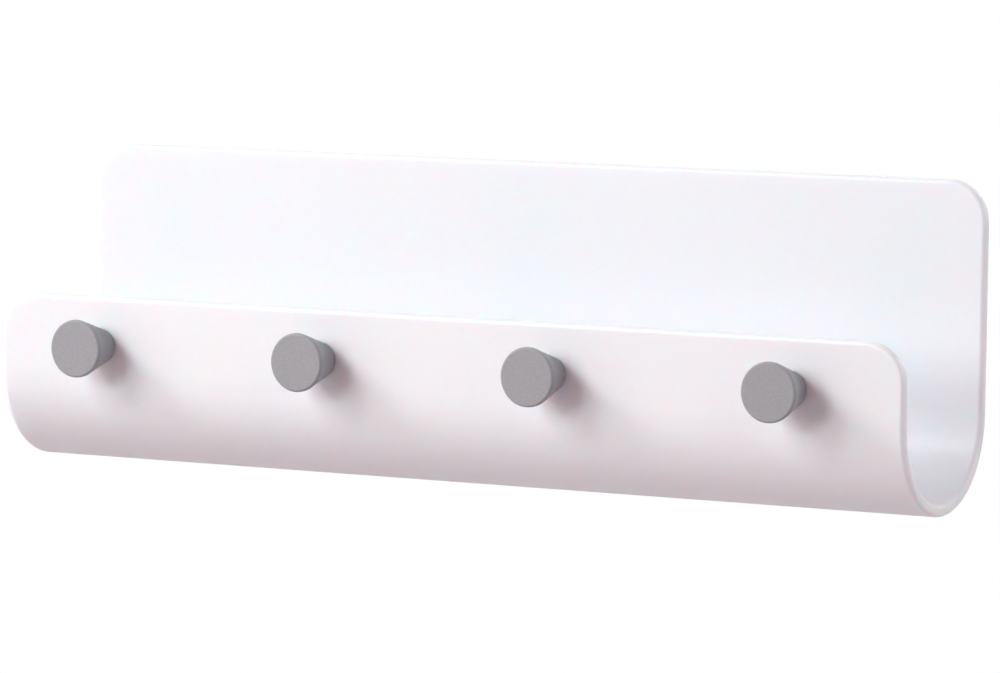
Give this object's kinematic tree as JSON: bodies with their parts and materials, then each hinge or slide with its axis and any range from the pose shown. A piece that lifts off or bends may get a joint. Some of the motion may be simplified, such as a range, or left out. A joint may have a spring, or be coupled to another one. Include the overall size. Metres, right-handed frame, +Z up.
{
  "type": "wall peg rail with tray",
  "caption": "Wall rail bent from one sheet into a J: tall back plate, open-ended half round tray and a low front lip that carries short tapered pegs.",
  "frame": {"origin": "on the wall, at the centre of the centre mounting strip's outer face, half way up the flat of the back plate", "axes": "+X along the rail, to the right as seen from the room; +Y into the wall; +Z up; the pegs point along -Y"},
  "size_m": [0.35, 0.081, 0.109],
  "materials": {
    "white_sheet": "glossy white, polished rims",
    "grey_peg": "matt mid grey, fine moulded grain",
    "brass_insert": "turned",
    "washer_steel": "bright zinc",
    "screw_steel": "bright zinc",
    "foam_strip": "closed cell foam, sticky on both faces"
  },
  "bodies": {
    "root": {"tray": "white_sheet", "peg_1": "grey_peg", "peg_2": "grey_peg", "peg_3": "grey_peg", "peg_4": "grey_peg", "peg_insert_1": "brass_insert", "peg_insert_2": "brass_insert", "peg_insert_3": "brass_insert", "peg_insert_4": "brass_insert", "peg_washer_1": "washer_steel", "peg_washer_2": "washer_steel", "peg_washer_3": "washer_steel", "peg_washer_4": "washer_steel", "peg_screw_1": "screw_steel", "peg_screw_2": "screw_steel", "peg_screw_3": "screw_steel", "peg_screw_4": "screw_steel", "mounting_strip_left": "foam_strip", "mounting_strip_centre": "foam_strip", "mounting_strip_right": "foam_strip"}
  },
  "joints": []
}
